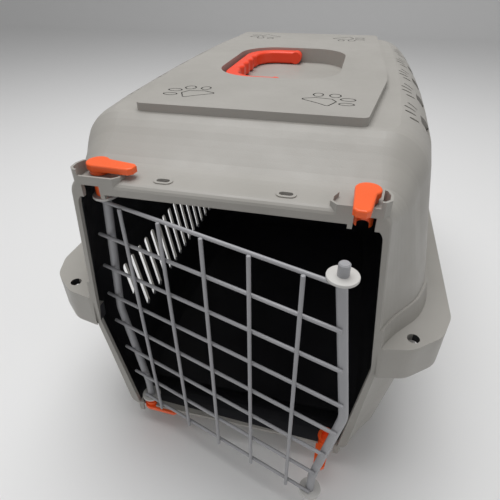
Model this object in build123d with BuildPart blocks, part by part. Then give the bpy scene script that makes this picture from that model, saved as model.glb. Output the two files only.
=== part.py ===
import math
import os

from build123d import *

os.makedirs("parts", exist_ok=True)

# Overall sizes, in millimetres. The front with the door faces -Y and the base rests on Z = 0.
seam_height = 178.0
waist_height = 155.0
shoulder_height = 285.0
deck_height = 314.0
plate_height = 320.0
groove_depth = 0.8
wall = 3.0
rim_width = 5.1
rim_depth = 3.5

# Each station is one cross-section of the two shells:
# y, half width at the waist, half width at the shoulder, top, shoulder radius,
# half width at the lower brim, bottom, base radius.
# Tops above the deck and bottoms below zero are trimmed flat afterwards.
stations = (
    (-240.0, 115.0, 102.5, 284.0, 8.0, 103.0, 34.0, 9.0),
    (-239.3, 115.8, 103.3, 285.7, 8.0, 103.8, 33.0, 9.0),
    (-238.0, 116.4, 103.9, 287.0, 8.5, 104.4, 32.4, 9.0),
    (-236.5, 116.9, 104.3, 287.8, 9.0, 104.9, 32.0, 9.0),
    (-234.0, 118.5, 105.0, 288.0, 10.5, 106.0, 32.0, 9.5),
    (-228.0, 122.5, 106.8, 288.0, 13.0, 109.0, 32.0, 11.0),
    (-220.0, 129.0, 109.5, 288.0, 16.0, 113.5, 32.0, 13.0),
    (-210.0, 138.5, 113.5, 289.4, 20.0, 120.0, 30.4, 16.0),
    (-200.0, 146.5, 118.0, 295.0, 24.0, 127.0, 24.5, 19.0),
    (-190.0, 151.0, 121.5, 302.0, 28.0, 131.5, 15.5, 22.0),
    (-180.0, 153.2, 126.5, 309.5, 31.0, 134.5, 5.5, 24.0),
    (-172.0, 154.2, 129.5, 314.0, 33.0, 136.0, -0.4, 24.0),
    (-160.0, 155.0, 132.0, 315.0, 35.0, 137.0, -1.0, 24.0),
    (-120.0, 156.0, 136.0, 315.0, 37.0, 138.0, -1.0, 24.0),
    (0.0, 157.0, 139.0, 315.0, 38.0, 139.0, -1.0, 24.0),
    (120.0, 156.0, 136.0, 315.0, 38.0, 138.0, -1.0, 24.0),
    (180.0, 154.0, 131.0, 315.0, 38.0, 136.0, -1.0, 24.0),
    (200.0, 150.0, 127.0, 312.0, 37.0, 131.5, 1.5, 24.0),
    (213.0, 142.5, 120.0, 306.5, 33.0, 124.0, 6.0, 22.0),
    (222.0, 133.0, 111.5, 299.5, 27.0, 115.0, 12.0, 20.0),
    (230.0, 121.5, 101.5, 290.5, 20.0, 104.5, 19.5, 17.0),
    (236.6, 108.0, 90.0, 279.0, 14.0, 92.0, 29.0, 13.0),
)
front_y = stations[0][0]
rear_y = stations[-1][0]
cavity_rear_y = rear_y - wall

# Mating flange between the shells.
flange_thickness = 3.0
skirt_bottom = 150.0
flange_right = (
    (117.0, -240.0),
    (137.0, -236.0),
    (159.0, -218.0),
    (167.0, -196.0),
    (167.0, 196.0),
    (159.0, 218.0),
    (137.0, 236.0),
    (117.0, 240.0),
)
foot_band_top = 198.0
foot_band_rise = 2.0
rim_block_depth = 9.5
flange_hole_x = 137.5
flange_hole_y = 224.5
flange_hole_radius = 4.5

# Door opening. Below the seam the front face leans back towards the floor.
opening_top = 279.0
opening_bottom = 35.0
front_lean = 8.5
lean_foot = 30.0

# Door pins and the brim plates that hold the latches.
pin_x = 88.5
pin_y = -225.0
pin_radius = 3.3
upper_brim_face = 288.0
lower_brim_face = 32.0
neck_radius = 6.0
neck_clearance = 0.4
fence_rise = 7.5
sill_rise = 3.2
corner_drop = 11.0
fence_width = 1.6

# Door, measured from the hinge pin: u runs across the door, v runs outward.
door_open_angle = 17.8
wire_radius = 1.4
weld_depth = 0.35
cross_wire_top = 268.0
cross_wire_pitch = 31.7
cross_wire_count = 8
upright_offsets = (19.4, 53.95, 88.5, 123.05, 157.6)
door_width = 2.0 * pin_x
rod_bow = 15.0
bow_height = 157.0
bow_foot = 64.0
rod_top = 279.5
rod_bottom = 35.6
upper_washer_z = 269.7
lower_washer_z = 41.9
washer_radius = 9.0
washer_inner_radius = 3.2

# Side slots of the lower shell and paw-shaped vents along the shoulders.
slot_width = 8.0
slot_length = 72.0
slot_centre_z = 96.0
slot_pitch = 18.0
slot_count = 14
end_slot_length = 42.0
end_slot_z = 111.0
vent_centres_y = (-118.0, -58.0, 2.0, 62.0, 122.0)
vent_x = 125.0
vent_z = 303.0

# Handle and its recess in the roof.
recess_centre_y = -1.5
recess_width = 114.0
recess_length = 147.0
recess_corner = 38.0
recess_floor = 304.8
handle_axis_z = 311.6
handle_height = 12.4
handle_width = 13.0
handle_reach = 46.0
handle_leg_y = 66.0
stub_radius = 3.2

# Pad of one paw mark, measured from its centre towards the middle of the roof.
pad_corners = ((22, -2.5), (10, -8), (-3, -6), (-7, 1), (-1, 14), (6, 8))
paw_toes = ((8.5, -15.5, 4.3, 5.2), (-4.5, -15, 4.8, 5.4), (-14.5, -6, 6, 4.2), (-14, 6, 6, 3.6))
paw_line = 1.1


def slope_at(index, column):
    """Slope of one column at a station, flat at the ends and at turning points."""
    if index in (0, len(stations) - 1):
        return 0.0
    before, here, after = stations[index - 1 : index + 2]
    slope_in = (here[column] - before[column]) / (here[0] - before[0])
    slope_out = (after[column] - here[column]) / (after[0] - here[0])
    if slope_in * slope_out <= 0:
        return 0.0
    return 2 * slope_in * slope_out / (slope_in + slope_out)


def station_at(y):
    """Values of the cross-section at any y, on a smooth curve through the stations."""
    index = max(i for i, station in enumerate(stations[:-1]) if station[0] <= y)
    before, after = stations[index], stations[index + 1]
    gap = after[0] - before[0]
    t = (y - before[0]) / gap
    values = [y]
    for column in range(1, len(before)):
        step = after[column] - before[column]
        slope_in = slope_at(index, column) * gap
        slope_out = slope_at(index + 1, column) * gap
        curve = slope_in * (t - 2 * t**2 + t**3) + slope_out * (t**3 - t**2)
        values.append(before[column] + step * (3 * t**2 - 2 * t**3) + curve)
    return tuple(values)


def upper_half_width(values, z):
    """Half width of the body at height z, above the waist."""
    lean = (values[1] - values[2]) / (shoulder_height - waist_height)
    return values[1] - lean * (z - waist_height)


def lower_half_width(values, z):
    """Half width of the body at height z, below the waist."""
    lean = (values[1] - values[5]) / (waist_height - lower_brim_face)
    return values[1] - lean * (waist_height - z)


def upper_form(y_values, inset, start_z):
    """Solid form of the upper shell, drawn in from its outside by the inset."""
    with BuildPart() as form:
        for y in y_values:
            values = station_at(y)
            top = values[3] - inset
            low_half = upper_half_width(values, start_z) - inset
            top_half = upper_half_width(values, top) - inset
            with BuildSketch(Plane.XZ.offset(-y)):
                with BuildLine():
                    Polyline(
                        (-low_half, start_z),
                        (low_half, start_z),
                        (top_half, top),
                        (-top_half, top),
                        close=True,
                    )
                face = make_face()
                fillet(face.vertices().group_by(Axis.Y)[-1], values[4] - inset)
        loft(ruled=True)
        with BuildSketch(Plane.XY.offset(deck_height - inset)):
            Rectangle(400, 600)
        extrude(amount=20, mode=Mode.SUBTRACT)
    return form.part


def lower_form(y_values, inset, end_z):
    """Solid form of the lower shell, drawn in from its outside by the inset."""
    with BuildPart() as form:
        for y in y_values:
            values = station_at(y)
            bottom = values[6] + inset
            high_half = upper_half_width(values, end_z) - inset
            waist_half = values[1] - inset
            low_half = lower_half_width(values, bottom) - inset
            with BuildSketch(Plane.XZ.offset(-y)):
                with BuildLine():
                    Polyline(
                        (-low_half, bottom),
                        (low_half, bottom),
                        (waist_half, waist_height),
                        (high_half, end_z),
                        (-high_half, end_z),
                        (-waist_half, waist_height),
                        close=True,
                    )
                face = make_face()
                fillet(face.vertices().group_by(Axis.Y)[0], values[7] - inset)
        loft(ruled=True)
        with BuildSketch(Plane.XY.offset(inset)):
            Rectangle(400, 600)
        extrude(amount=-20, mode=Mode.SUBTRACT)
    return form.part


def flange_sketch(inset):
    """Plan outline of the mating flange, drawn in by the inset."""
    left = tuple((-x, y) for x, y in reversed(flange_right))
    with BuildSketch() as outline:
        with BuildLine():
            Polyline(*flange_right, *left, close=True)
        face = make_face()
        bends = [v for v in face.vertices() if abs(v.X) > 120]
        fillet(bends, 22)
        if inset:
            offset(amount=-inset)
    return outline.sketch


def door_point(u, v):
    """Plan position of a point on the standing-open door."""
    angle = math.radians(door_open_angle)
    x = -pin_x + u * math.cos(angle) - v * math.sin(angle)
    y = pin_y - u * math.sin(angle) - v * math.cos(angle)
    return x, y


def door_plane():
    """Upright plane through both door pins, facing outward."""
    angle = math.radians(door_open_angle)
    return Plane(
        origin=(-pin_x, pin_y, 0),
        x_dir=(math.cos(angle), -math.sin(angle), 0),
        z_dir=(-math.sin(angle), -math.cos(angle), 0),
    )


def shoulder_plane(side):
    """Plane tangent to one shoulder at its middle, facing outward and up."""
    return Plane(origin=(side * vent_x, 0, vent_z), x_dir=(0, 1, 0), z_dir=(side, 0, 1))


def paw_outlines(centre_x, centre_y, side, end):
    """Closed outlines of one paw mark: a pad and four toes towards the corner."""
    with BuildSketch() as pad:
        with BuildLine():
            points = [(centre_x - side * a, centre_y + end * -b) for a, b in pad_corners]
            Polyline(*points, close=True)
        make_face()
        fillet(pad.vertices(), 2.2)
        offset(amount=-paw_line, mode=Mode.SUBTRACT)
    marks = pad.sketch
    for along, across, half_x, half_y in paw_toes:
        with BuildSketch() as toe:
            with Locations((centre_x - side * along, centre_y + end * -across)):
                Ellipse(half_x, half_y)
                Ellipse(half_x - paw_line, half_y - paw_line, mode=Mode.SUBTRACT)
        marks = marks + toe.sketch
    return marks


def around_pin(side, points):
    """Plan points measured outward and rearward from one latch axis."""
    return tuple((side * (pin_x + x), pin_y + y) for x, y in points)


def front_at(z):
    """How far forward the front face stands at height z."""
    return front_y + front_lean * max(0.0, seam_height - z) / (seam_height - lean_foot)


def front_trim(depth):
    """Solid that lies in front of the leaning front face, moved back by the depth."""
    with BuildPart() as trim:
        with BuildSketch(Plane.YZ):
            with BuildLine():
                Polyline(
                    (front_at(400) + depth, 400),
                    (front_at(seam_height) + depth, seam_height),
                    (front_at(-20) + depth, -20),
                    (-300, -20),
                    (-300, 400),
                    close=True,
                )
            make_face()
        extrude(amount=200, both=True)
    return trim.part


outer_fence = ((7.8, -14.2), (9.8, -14.2), (12.8, -11.2), (13.4, -5.0), (11.6, 0.2), (9.9, 1.4))
front_sill = ((8.0, -14.2), (-16.6, -14.2), (-20.2, -10.6), (-20.0, -5.0), (-17.2, 1.5))
lower_corner = ((8.6, -5.2), (12.6, -5.2), (14.4, -1.5), (13.6, 5.0))


nose_steps = (front_y, -239.3, -238.0, -236.5)
front_steps = tuple(-234.0 + 5.0 * i for i in range(16))
middle_steps = (-120.0, -60.0, 0.0, 60.0, 120.0, 160.0, 180.0)
rear_steps = (190.0, 200.0, 207.0, 213.0, 218.0, 222.0, 226.0, 230.0, 233.0)
outer_y = nose_steps + front_steps + middle_steps + rear_steps + (rear_y,)
inner_y = (front_y + rim_depth,) + front_steps + middle_steps + rear_steps + (cavity_rear_y,)
upper_body = upper_form(outer_y, 0.0, seam_height)
upper_cavity = upper_form(inner_y, wall, seam_height - 8)
lower_body = lower_form(outer_y, 0.0, seam_height) - front_trim(0.0)
# The hollow starts behind the leaning front wall.
lower_cavity = lower_form(inner_y, wall, seam_height + 8) - front_trim(rim_depth)
flange_outline = flange_sketch(0.0)
skirt_inner_outline = flange_sketch(flange_thickness)
lower_body_clearance = lower_form(outer_y, -0.3, seam_height + 1)
lower_flange_outline = flange_sketch(flange_thickness + 0.4)

# Door opening: the front section behind the rolled edge, drawn in by the rim width.
front = stations[3]
opening_half_top = upper_half_width(front, opening_top) - rim_width
opening_half_waist = front[1] - rim_width
opening_half_low = lower_half_width(front, opening_bottom) - rim_width

with BuildPart() as opening:
    with BuildSketch(Plane.XZ.offset(-front_y - rim_depth)):
        with BuildLine():
            Polyline(
                (-opening_half_low, opening_bottom),
                (opening_half_low, opening_bottom),
                (opening_half_waist, waist_height),
                (opening_half_top, opening_top),
                (-opening_half_top, opening_top),
                (-opening_half_waist, waist_height),
                close=True,
            )
        outline = make_face()
        fillet(outline.vertices().group_by(Axis.Y)[-1], 10)
        fillet(outline.vertices().group_by(Axis.Y)[0], 9)
    extrude(amount=35, both=True)

# Part of the front rim below the seam that belongs to the upper shell.
with BuildPart() as rim_block:
    with BuildSketch(Plane.XY.offset(waist_height)):
        with Locations((0, front_y + rim_block_depth / 2)):
            Rectangle(300, rim_block_depth)
    extrude(amount=seam_height - waist_height)

with BuildPart() as upper_rim_tail:
    add(lower_body_clearance)
    add(rim_block.part, mode=Mode.INTERSECT)
    add(front_trim(0.0), mode=Mode.SUBTRACT)

# Band round the foot of the upper wall, standing a little proud of it.
with BuildPart() as foot_band:
    add(upper_form(outer_y, -foot_band_rise, seam_height))
    with BuildSketch(Plane.XY.offset(foot_band_top)):
        Rectangle(400, 600)
    extrude(amount=200, mode=Mode.SUBTRACT)

# Skirt that hangs from the flange, cut clear of the lower shell.
with BuildPart() as skirt:
    with BuildSketch(Plane.XY.offset(skirt_bottom)):
        add(flange_outline)
        add(skirt_inner_outline, mode=Mode.SUBTRACT)
    extrude(amount=seam_height - skirt_bottom)
    add(lower_body_clearance, mode=Mode.SUBTRACT)

with BuildPart() as upper_shell:
    add(upper_body)
    with BuildSketch(Plane.XY.offset(seam_height)):
        add(flange_outline)
    extrude(amount=flange_thickness)
    add(skirt.part)
    add(upper_rim_tail.part)
    add(foot_band.part)
    # Raised plate on the roof.
    with BuildSketch(Plane.XY.offset(deck_height - 6)):
        with BuildLine():
            Polyline(
                (-84, -171.5),
                (84, -171.5),
                (98, -62),
                (98, -20),
                (89, 184),
                (-89, 184),
                (-98, -20),
                (-98, -62),
                close=True,
            )
        plate_face = make_face()
        fillet([v for v in plate_face.vertices() if abs(v.Y) > 100], 5)
    extrude(amount=plate_height - deck_height + 6)
    # Paw marks cut into the plate near its four corners.
    with BuildSketch(Plane.XY.offset(plate_height - groove_depth)):
        for side in (-1, 1):
            add(paw_outlines(side * 54, -137, side, 1))
            add(paw_outlines(side * 54, 151, side, -1))
    extrude(amount=groove_depth + 1, mode=Mode.SUBTRACT)
    # Low walls that guard the upper latches.
    for side in (-1, 1):
        for points, rise in ((outer_fence, fence_rise), (front_sill, sill_rise)):
            with BuildSketch(Plane.XY.offset(upper_brim_face - 5)):
                with BuildLine() as fence_line:
                    Polyline(*around_pin(side, points))
                trace(fence_line.line, fence_width)
            extrude(amount=rise + 5)
    # Raised collars round the small slots in the brim.
    with BuildSketch(Plane.XY.offset(upper_brim_face - 0.5)):
        with Locations((-40.5, -229), (40.5, -229)):
            SlotOverall(13, 8.5)
    extrude(amount=1.3)
    # Hollow inside.
    add(upper_cavity, mode=Mode.SUBTRACT)
    add(opening.part, mode=Mode.SUBTRACT)
    # Handle recess: a closed pocket hanging below the roof.
    with BuildSketch(Plane.XY.offset(recess_floor - wall)):
        with Locations((0, recess_centre_y)):
            RectangleRounded(recess_width + 2 * wall, recess_length + 2 * wall, recess_corner + wall)
    extrude(amount=deck_height - recess_floor + wall)
    with BuildSketch(Plane.XY.offset(recess_floor)):
        with Locations((0, recess_centre_y)):
            RectangleRounded(recess_width, recess_length, recess_corner)
    extrude(amount=30, mode=Mode.SUBTRACT)
    # Bores for the handle stubs in the two end walls of the recess.
    with BuildSketch(Plane.XZ.offset(-recess_centre_y)):
        with Locations((0, handle_axis_z)):
            Circle(stub_radius + 0.4)
    extrude(amount=recess_length / 2 + wall + 1, both=True, mode=Mode.SUBTRACT)
    # Holes for the latch necks and the window in the lip below each one.
    with BuildSketch(Plane.XY.offset(opening_top)):
        with Locations((-pin_x, pin_y), (pin_x, pin_y)):
            Circle(neck_radius + neck_clearance)
    extrude(amount=30, mode=Mode.SUBTRACT)
    with BuildSketch(Plane.XY.offset(opening_top - 1)):
        with Locations((-pin_x, front_y), (pin_x, front_y)):
            Rectangle(13, 12)
    extrude(amount=upper_brim_face - wall - opening_top + 1, mode=Mode.SUBTRACT)
    # Small teeth below the lip on both sides of each window.
    with BuildSketch(Plane.XY.offset(opening_top - 3)):
        for side in (-1, 1):
            with Locations((side * pin_x - 8, front_y + 1.5), (side * pin_x + 8, front_y + 1.5)):
                Rectangle(3, 3)
    extrude(amount=4.5)
    # Paw-shaped vents through both shoulders.
    for side in (-1, 1):
        with BuildSketch(shoulder_plane(side)):
            for centre in vent_centres_y:
                for shift, tilt in ((-16.5, 24), (-5.5, 8), (5.5, -8), (16.5, -24)):
                    rise = 14 - abs(shift) * 0.25
                    with Locations((centre + shift, side * rise)):
                        SlotOverall(10, 3.2, rotation=90 + side * tilt)
                with BuildLine():
                    Polyline(
                        (centre - 17, side * -13),
                        (centre + 17, side * -13),
                        (centre + 8, side * 3),
                        (centre - 8, side * 3),
                        close=True,
                    )
                make_face()
        extrude(amount=13, both=True, mode=Mode.SUBTRACT)
    # Small slots in the brim.
    with BuildSketch(Plane.XY.offset(opening_top + 3)):
        with Locations((-40.5, -229), (40.5, -229)):
            SlotOverall(9, 4.5)
    extrude(amount=12, mode=Mode.SUBTRACT)
    # Holes through the flange.
    with BuildSketch(Plane.XY.offset(seam_height - 1)):
        with GridLocations(2 * flange_hole_x, 2 * flange_hole_y, 2, 2):
            Circle(flange_hole_radius)
    extrude(amount=5, mode=Mode.SUBTRACT)

with BuildPart() as lower_shell:
    add(lower_body)
    with BuildSketch(Plane.XY.offset(seam_height - flange_thickness)):
        add(lower_flange_outline)
    extrude(amount=flange_thickness)
    # Low wall at each front corner beside the lower latch.
    for side in (-1, 1):
        with BuildSketch(Plane.XY.offset(lower_brim_face + 2)):
            with BuildLine() as fence_line:
                Polyline(*around_pin(side, lower_corner))
            trace(fence_line.line, fence_width)
        extrude(amount=-corner_drop - 2)
    add(lower_cavity, mode=Mode.SUBTRACT)
    add(opening.part, mode=Mode.SUBTRACT)
    add(rim_block.part, mode=Mode.SUBTRACT)
    # Row of upright slots through both side walls.
    with BuildSketch(Plane.YZ):
        with Locations((0, slot_centre_z)):
            with GridLocations(slot_pitch, 1, slot_count, 1):
                SlotOverall(slot_length, slot_width, rotation=90)
        with Locations((0, end_slot_z)):
            with GridLocations(slot_pitch * (slot_count + 1), 1, 2, 1):
                SlotOverall(end_slot_length, slot_width, rotation=90)
    extrude(amount=170, both=True, mode=Mode.SUBTRACT)
    # Notches that hold the lower latch necks, open to the front.
    with BuildSketch(Plane.XY.offset(lower_brim_face + 9)):
        with Locations((-pin_x, pin_y), (pin_x, pin_y)):
            Circle(neck_radius + neck_clearance)
        with Locations((-pin_x, pin_y - 10), (pin_x, pin_y - 10)):
            Rectangle(2 * (neck_radius + neck_clearance), 20)
    extrude(amount=-14, mode=Mode.SUBTRACT)
    with BuildSketch(Plane.XY.offset(seam_height + 1)):
        with GridLocations(2 * flange_hole_x, 2 * flange_hole_y, 2, 2):
            Circle(flange_hole_radius)
    extrude(amount=-5, mode=Mode.SUBTRACT)


def make_latch(axis_x, arm_angle, brim_face, outward, lift, sleeve_end, bore_end):
    """Twist latch: lever outside the brim, neck through it, split sleeve inside."""
    brim_inside = brim_face - outward * wall
    lever_base = brim_face + outward * lift
    with BuildPart() as latch:
        # Round head and a wide arm set to one side of it.
        with BuildSketch(Plane.XY.offset(lever_base)):
            Circle(8)
            with BuildLine():
                Polyline(
                    (0, 6.0),
                    (9, 5.2),
                    (26.5, 3.9),
                    (29, 1.6),
                    (29, -3.6),
                    (26.5, -6.1),
                    (0, -7.9),
                    close=True,
                )
            make_face()
        extrude(amount=outward * 4.4)
        fillet(latch.edges().group_by(Axis.Z)[-1 if outward > 0 else 0], 1.2)
        # Drum that rides on the brim and neck that passes through it.
        with BuildSketch(Plane.XY.offset(lever_base)):
            Circle(neck_radius + 0.9)
        extrude(amount=-outward * (lift - 0.4))
        with BuildSketch(Plane.XY.offset(brim_face + outward * 0.6)):
            Circle(neck_radius)
        extrude(amount=-outward * (abs(brim_face - sleeve_end) + 0.6))
        # Snap collar just inside the brim.
        with BuildSketch(Plane.XY.offset(brim_inside - outward * 0.5)):
            Circle(neck_radius + 1.2)
        extrude(amount=-outward * 1.4)
        # Blind bore and side gap for the door pin.
        with BuildSketch(Plane.XY.offset(sleeve_end)):
            Circle(pin_radius + 0.4)
            with Locations((8, 0)):
                Rectangle(16, 2 * pin_radius + 1.0)
        extrude(amount=outward * abs(bore_end - sleeve_end), mode=Mode.SUBTRACT)
    return latch.part.moved(Location((axis_x, pin_y, 0), (0, 0, arm_angle)))


def make_rod(u, bow):
    """Side rod of the door: straight pins at both ends and a gentle bow between."""
    with BuildPart() as rod:
        with BuildLine(door_plane()) as path:
            FilletPolyline(
                (u, rod_bottom),
                (u, bow_foot),
                (u + bow, bow_height),
                (u, cross_wire_top - 2),
                (u, rod_top),
                radius=30,
            )
        with BuildSketch(Plane(origin=path.line @ 0, z_dir=path.line % 0)):
            Circle(pin_radius)
        sweep()
        chamfer(rod.edges().group_by(Axis.Z)[-1], 0.7)
        chamfer(rod.edges().group_by(Axis.Z)[0], 0.7)
    return rod.part


def bow_at(z):
    """How far the side rods stand outside the pins at height z."""
    if z > bow_height:
        return rod_bow * max(0.0, cross_wire_top - 2 - z) / (cross_wire_top - 2 - bow_height)
    return rod_bow * max(0.0, z - bow_foot) / (bow_height - bow_foot)


def make_cross_wire(z, u_from, u_to):
    """Level door wire in front of the side rods."""
    x, y = door_point(u_from, cross_wire_v)
    start = door_plane()
    with BuildPart() as wire:
        with BuildSketch(Plane(origin=(x, y, z), z_dir=start.x_dir)):
            Circle(wire_radius)
        extrude(amount=u_to - u_from)
        fillet(wire.edges().filter_by(GeomType.CIRCLE), 0.5)
    return wire.part


def make_upright(u):
    """Upright door wire in front of the level wires."""
    x, y = door_point(u, upright_v)
    bottom = cross_wire_top - cross_wire_pitch * (cross_wire_count - 1) - wire_radius - 3.4
    with BuildPart() as wire:
        with BuildSketch(Plane.XY.offset(bottom)):
            with Locations((x, y)):
                Circle(wire_radius)
        extrude(amount=cross_wire_top - bottom)
        fillet(wire.edges().filter_by(GeomType.CIRCLE), 0.5)
    return wire.part


def make_washer(u, z):
    """Flat washer welded on a side rod."""
    x, y = door_point(u, 0)
    with BuildPart() as washer:
        with BuildSketch(Plane.XY.offset(z)):
            with Locations((x, y)):
                Circle(washer_radius)
                Circle(pin_radius, mode=Mode.SUBTRACT)
        extrude(amount=2.0)
        fillet(washer.edges().filter_by(lambda e: e.length > 50), 0.5)
    return washer.part


cross_wire_v = pin_radius + wire_radius - weld_depth
upright_v = cross_wire_v + 2 * wire_radius - weld_depth

pieces = {"upper_shell": upper_shell.part, "lower_shell": lower_shell.part}
pieces["door_hinge_rod"] = make_rod(0.0, -rod_bow)
pieces["door_closing_rod"] = make_rod(door_width, rod_bow)
for row in range(cross_wire_count):
    wire_z = cross_wire_top - cross_wire_pitch * row
    left_end = -3.0 if row in (0, cross_wire_count - 1) else -bow_at(wire_z) - 8.2
    right_end = door_width + bow_at(wire_z) + 1.5
    pieces["door_cross_wire_" + str(row + 1)] = make_cross_wire(wire_z, left_end, right_end)
for column, u in enumerate(upright_offsets):
    pieces["door_upright_wire_" + str(column + 1)] = make_upright(u)
for edge, u in (("hinge", 0.0), ("closing", door_width)):
    pieces["door_washer_" + edge + "_upper"] = make_washer(u, upper_washer_z)
    pieces["door_washer_" + edge + "_lower"] = make_washer(u, lower_washer_z)

pieces["latch_upper_left"] = make_latch(-pin_x, -6, upper_brim_face, 1, 4.0, 272.2, 281.5)
pieces["latch_upper_right"] = make_latch(pin_x, -94, upper_brim_face, 1, 4.0, 272.2, 281.5)
pieces["latch_lower_left"] = make_latch(-pin_x, -6, lower_brim_face, -1, 0.7, 41.4, 34.4)
pieces["latch_lower_right"] = make_latch(pin_x, -94, lower_brim_face, -1, 0.7, 41.4, 34.4)

# Folding handle: a bail with a rounded eye and a stub at each end.
with BuildPart() as carry_handle:
    with BuildSketch(Plane.XY.offset(handle_axis_z - handle_height / 2)):
        with BuildLine() as bail:
            FilletPolyline(
                (0, recess_centre_y - handle_leg_y),
                (-handle_reach, recess_centre_y - handle_leg_y),
                (-handle_reach, recess_centre_y + handle_leg_y),
                (0, recess_centre_y + handle_leg_y),
                radius=28,
            )
        trace(bail.line, handle_width)
        # Finger hollows along the inner side of the grip.
        with Locations(*((-32.6, recess_centre_y + y) for y in (-27, -9, 9, 27))):
            Circle(9.5, mode=Mode.SUBTRACT)
    extrude(amount=handle_height)
    level_ends = carry_handle.edges().group_by(Axis.Z)
    fillet(level_ends[0] + level_ends[-1], 2.5)
    for direction in (-1, 1):
        leg_inner = recess_centre_y + direction * (handle_leg_y - handle_width / 2)
        with BuildSketch(Plane.XZ.offset(-leg_inner)):
            with Locations((0, handle_axis_z)):
                Circle(handle_height / 2)
        extrude(amount=-direction * handle_width)
        with BuildSketch(Plane.XZ.offset(-leg_inner)):
            with Locations((0, handle_axis_z)):
                Circle(stub_radius)
        extrude(amount=-direction * (handle_width + wall + 1.5))
pieces["carry_handle"] = carry_handle.part

for name, piece in pieces.items():
    piece.label = name
    export_step(piece, "parts/" + name + ".step")
    print(name, len(piece.solids()), piece.is_valid, round(piece.volume, 1))
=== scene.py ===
import math

import bpy
from mathutils import Matrix, Vector

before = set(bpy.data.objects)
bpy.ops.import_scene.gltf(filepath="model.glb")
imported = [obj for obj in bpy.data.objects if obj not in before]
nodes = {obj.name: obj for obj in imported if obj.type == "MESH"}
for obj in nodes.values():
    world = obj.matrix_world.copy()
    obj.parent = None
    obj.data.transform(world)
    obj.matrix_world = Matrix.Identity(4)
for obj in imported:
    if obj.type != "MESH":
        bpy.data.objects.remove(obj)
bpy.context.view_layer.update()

# Sizes in metres, in the shared frame: front towards -Y, base at Z = 0.
FRONT_Y = -0.240
SEAM_Z = 0.178
# Below the seam the front face leans back by this much over this height.
FRONT_LEAN = 0.0085
LEAN_HEIGHT = 0.148
RIM_DEPTH = 0.0035

# Handle recess in the roof, a pocket with rounded corners.
RECESS_CENTRE_Y = -0.0015
RECESS_HALF_WIDTH = 0.057
RECESS_HALF_LENGTH = 0.0735
RECESS_CORNER = 0.038
# Margins that just take in the whole pocket wall, and just its inner face.
POCKET_MARGIN = 0.0045
POCKET_FACE_MARGIN = 0.0006
POCKET_LOWEST_Z = 0.3010
POCKET_UNDERSIDE_Z = 0.3022

# Line through the middle of the cabin, which inner faces look towards.
CABIN_AXIS_Z = 0.165
CABIN_AXIS_HALF = 0.150
INWARD_LIMIT = 0.12
# Faces above the roof's inner side, and those of the upper brim plate.
ROOF_INNER_Z = 0.3115
BRIM_LOWEST_Z = 0.2862
BRIM_REAR_Y = -0.208
# Band in which the flange and its skirt stand out from the walls.
FLANGE_Z = (0.149, 0.179)
FLANGE_X = 0.1555
FLANGE_REAR_Y = 0.2345

# Grooves of the paw marks in the roof plate, whose faces get a darker grey as painted shade.
GROOVE_Z = (0.3191, 0.3199)
PAW_X = 0.09
PAW_CENTRE_Y = 0.007
PAW_Y = 0.095


# ---------------------------------------------------------------- materials
def new_material(name):
    """Empty node material with a Principled shader."""
    material = bpy.data.materials.new(name)
    material.use_nodes = True
    tree = material.node_tree
    tree.nodes.clear()
    output = tree.nodes.new("ShaderNodeOutputMaterial")
    shader = tree.nodes.new("ShaderNodeBsdfPrincipled")
    tree.links.new(shader.outputs["BSDF"], output.inputs["Surface"])
    return material, tree, shader


def noise(tree, coords, scale, detail, roughness=0.5):
    """Noise value over the given coordinates."""
    node = tree.nodes.new("ShaderNodeTexNoise")
    node.inputs["Scale"].default_value = scale
    node.inputs["Detail"].default_value = detail
    node.inputs["Roughness"].default_value = roughness
    tree.links.new(coords, node.inputs["Vector"])
    return node.outputs["Fac"]


def spread(tree, value, low, high):
    """Maps the middle part of a noise value to the range from low to high."""
    node = tree.nodes.new("ShaderNodeMapRange")
    node.inputs["From Min"].default_value = 0.3
    node.inputs["From Max"].default_value = 0.7
    node.inputs["To Min"].default_value = low
    node.inputs["To Max"].default_value = high
    tree.links.new(value, node.inputs["Value"])
    return node.outputs["Result"]


def mix_colour(tree, factor, colour_a, colour_b):
    """Blend of two colours. Sockets 6, 7 and output 2 are the node's colour ones."""
    node = tree.nodes.new("ShaderNodeMix")
    node.data_type = "RGBA"
    node.inputs[6].default_value = (*colour_a, 1.0)
    node.inputs[7].default_value = (*colour_b, 1.0)
    tree.links.new(factor, node.inputs["Factor"])
    return node.outputs[2]


def moulded(name, dark, light, rough, grain, grain_height):
    """Plastic or coating: cloudy tone, fine grain and uneven gloss."""
    material, tree, shader = new_material(name)
    coords = tree.nodes.new("ShaderNodeTexCoord").outputs["Object"]
    cloud = noise(tree, coords, 14.0, 4.0)
    colour = mix_colour(tree, spread(tree, cloud, 0.0, 1.0), dark, light)
    tree.links.new(colour, shader.inputs["Base Color"])
    gloss = noise(tree, coords, 60.0, 3.0)
    roughness = spread(tree, gloss, rough - 0.05, rough + 0.06)
    tree.links.new(roughness, shader.inputs["Roughness"])
    fine = noise(tree, coords, grain, 2.0, 0.6)
    bump = tree.nodes.new("ShaderNodeBump")
    bump.inputs["Strength"].default_value = 0.35
    bump.inputs["Distance"].default_value = grain_height
    tree.links.new(fine, bump.inputs["Height"])
    tree.links.new(bump.outputs["Normal"], shader.inputs["Normal"])
    shader.inputs["Specular IOR Level"].default_value = 0.5
    shader.inputs["Coat Weight"].default_value = 0.0
    shader.inputs["Coat Roughness"].default_value = 0.25
    return material


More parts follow.
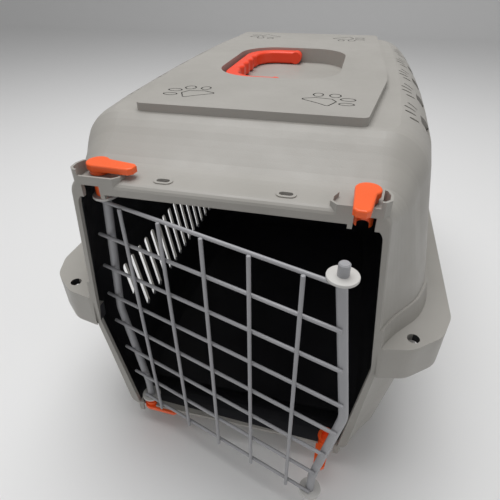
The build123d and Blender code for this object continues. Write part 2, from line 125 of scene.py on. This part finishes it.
# Name, darker tone, lighter tone, roughness, grain scale, grain height.
outer_grey = moulded(
    "outer_grey_plastic", (0.325, 0.312, 0.286), (0.365, 0.350, 0.324), 0.46, 1500.0, 0.00022
)
inner_dark = moulded(
    "inner_dark_plastic", (0.018, 0.018, 0.021), (0.026, 0.026, 0.030), 0.42, 1200.0, 0.0002
)
# Darker grey for the paw grooves: painted shade in the grooves, not a colour of the plastic.
groove_painted_shade = moulded(
    "painted_groove_shade", (0.10, 0.096, 0.09), (0.13, 0.125, 0.117), 0.6, 1500.0, 0.0002
)
latch_orange = moulded(
    "latch_orange_plastic", (0.90, 0.118, 0.020), (0.95, 0.140, 0.028), 0.33, 900.0, 0.0001
)
handle_orange = moulded(
    "handle_orange_plastic", (0.85, 0.048, 0.010), (0.90, 0.062, 0.015), 0.34, 900.0, 0.0001
)
coated_wire = moulded(
    "coated_wire_grey", (0.30, 0.30, 0.315), (0.36, 0.36, 0.375), 0.36, 700.0, 0.0002
)
washer_grey = moulded(
    "washer_grey_plastic", (0.52, 0.51, 0.49), (0.58, 0.57, 0.55), 0.42, 800.0, 0.0001
)


def set_material(obj, *materials):
    """Gives an object these materials and no others."""
    obj.data.materials.clear()
    for material in materials:
        obj.data.materials.append(material)


def inside_recess(x, y, margin):
    """Whether a plan position lies inside the handle recess, grown by a margin."""
    dx = max(abs(x) - (RECESS_HALF_WIDTH - RECESS_CORNER), 0.0)
    dy = max(abs(y - RECESS_CENTRE_Y) - (RECESS_HALF_LENGTH - RECESS_CORNER), 0.0)
    return math.hypot(dx, dy) < RECESS_CORNER + margin


def front_at(z):
    """How far forward the front face stands at height z."""
    return FRONT_Y + FRONT_LEAN * max(0.0, SEAM_Z - z) / LEAN_HEIGHT


def in_paw_mark(x, y, z):
    """Whether a face lies in one of the grooves of the paw marks, which are coloured darker
    as painted shade.
    """
    return GROOVE_Z[0] < z < GROOVE_Z[1] and abs(x) < PAW_X and abs(y - PAW_CENTRE_Y) > PAW_Y


def faces_cabin(centre, normal):
    """Whether a shell face belongs to the dark inside of the cabin."""
    x, y, z = centre
    if y < front_at(z) + RIM_DEPTH - 0.0001 or z > ROOF_INNER_Z:
        return False
    if z > POCKET_LOWEST_Z and inside_recess(x, y, POCKET_MARGIN):
        return z < POCKET_UNDERSIDE_Z or not inside_recess(x, y, POCKET_FACE_MARGIN)
    if z > BRIM_LOWEST_Z and y < BRIM_REAR_Y:
        return False
    if FLANGE_Z[0] < z < FLANGE_Z[1] and (abs(x) > FLANGE_X or y > FLANGE_REAR_Y):
        return False
    axis_y = min(max(y, -CABIN_AXIS_HALF), CABIN_AXIS_HALF)
    inward = Vector((0.0 - x, axis_y - y, CABIN_AXIS_Z - z))
    if y < -CABIN_AXIS_HALF:
        inward.y = 0.0
    return normal.dot(inward.normalized()) > INWARD_LIMIT


for shell in ("upper_shell", "lower_shell"):
    obj = nodes[shell]
    set_material(obj, outer_grey, inner_dark, groove_painted_shade)
    for polygon in obj.data.polygons:
        # Faces in the paw grooves take the darker grey of slot 2 as painted shade.
        if in_paw_mark(*polygon.center):
            polygon.material_index = 2
        else:
            polygon.material_index = 1 if faces_cabin(polygon.center, polygon.normal) else 0

for name, obj in nodes.items():
    if name.startswith("latch"):
        set_material(obj, latch_orange)
    elif name.startswith("door_washer"):
        set_material(obj, washer_grey)
    elif name.startswith("door"):
        set_material(obj, coated_wire)
    elif name == "carry_handle":
        set_material(obj, handle_orange)


# ---------------------------------------------------------------- stage
def flat_sheet(name, size_x, y_near, y_far, height, bend_radius):
    """Floor that curves up into a backdrop."""
    profile = [(y_near, 0.0)]
    steps = 16
    for step in range(steps + 1):
        angle = math.pi / 2 * step / steps
        bend_y = y_far + bend_radius * math.sin(angle)
        profile.append((bend_y, bend_radius * (1 - math.cos(angle))))
    profile.append((y_far + bend_radius, height))
    vertices = []
    for y, z in profile:
        vertices += [(-size_x, y, z), (size_x, y, z)]
    faces = [(2 * i, 2 * i + 1, 2 * i + 3, 2 * i + 2) for i in range(len(profile) - 1)]
    mesh = bpy.data.meshes.new(name)
    mesh.from_pydata(vertices, [], faces)
    for polygon in mesh.polygons:
        polygon.use_smooth = True
    obj = bpy.data.objects.new(name, mesh)
    bpy.context.scene.collection.objects.link(obj)
    return obj


studio, studio_tree, studio_shader = new_material("studio_white")
studio_shader.inputs["Base Color"].default_value = (0.8, 0.8, 0.8, 1.0)
studio_shader.inputs["Roughness"].default_value = 0.9
studio_floor = flat_sheet("studio_floor", 4.0, -3.0, 2.4, 3.0, 0.6)
# Just under the base, so that the two faces don't coincide.
studio_floor.location.z = -0.0003
set_material(studio_floor, studio)

world = bpy.data.worlds.new("studio_world")
bpy.context.scene.world = world
world.use_nodes = True
background = world.node_tree.nodes["Background"]
background.inputs["Color"].default_value = (1.0, 1.0, 1.0, 1.0)
background.inputs["Strength"].default_value = 0.30


def soft_light(name, place, target, size, power):
    """Round area light at a place, aimed at a target."""
    light = bpy.data.lights.new(name, "AREA")
    light.shape = "DISK"
    light.size = size
    light.energy = power
    obj = bpy.data.objects.new(name, light)
    obj.location = place
    direction = Vector(target) - Vector(place)
    obj.rotation_euler = direction.to_track_quat("-Z", "Y").to_euler()
    bpy.context.scene.collection.objects.link(obj)


soft_light("top_softbox", (-0.15, 0.1, 1.75), (0, 0, 0.2), 1.5, 24.0)
soft_light("side_fill", (1.5, -0.6, 0.9), (0, 0, 0.2), 1.0, 2.5)
soft_light("front_fill", (-0.9, -1.6, 0.8), (0, -0.1, 0.2), 1.0, 2.5)

# ---------------------------------------------------------------- camera
CAMERA_PLACE = (0.0747, -0.4548, 0.4076)
CAMERA_YAW = -14.25
CAMERA_PITCH = 35.27
CAMERA_ROLL = -0.488
SENSOR_WIDTH = 36.0
FOCAL_LENGTH = 29.93


def aim(yaw, pitch, roll):
    """Camera axes for a heading, a downward pitch and a roll, in degrees."""
    yaw, pitch, roll = (math.radians(value) for value in (yaw, pitch, roll))
    level = math.cos(pitch)
    forward = Vector((math.sin(yaw) * level, math.cos(yaw) * level, -math.sin(pitch)))
    right = Vector((math.cos(yaw), -math.sin(yaw), 0.0))
    down = forward.cross(right)
    turned_right = right * math.cos(roll) - down * math.sin(roll)
    turned_down = right * math.sin(roll) + down * math.cos(roll)
    return Matrix((turned_right, -turned_down, -forward)).transposed()


camera_data = bpy.data.cameras.new("camera")
camera_data.sensor_width = SENSOR_WIDTH
camera_data.lens = FOCAL_LENGTH
camera_data.clip_start = 0.01
camera = bpy.data.objects.new("camera", camera_data)
camera_turn = aim(CAMERA_YAW, CAMERA_PITCH, CAMERA_ROLL).to_4x4()
camera.matrix_world = Matrix.Translation(CAMERA_PLACE) @ camera_turn
bpy.context.scene.collection.objects.link(camera)
bpy.context.scene.camera = camera
# Plain view transform, so that the orange and the warm grey keep their colour.
bpy.context.scene.view_settings.view_transform = "Standard"
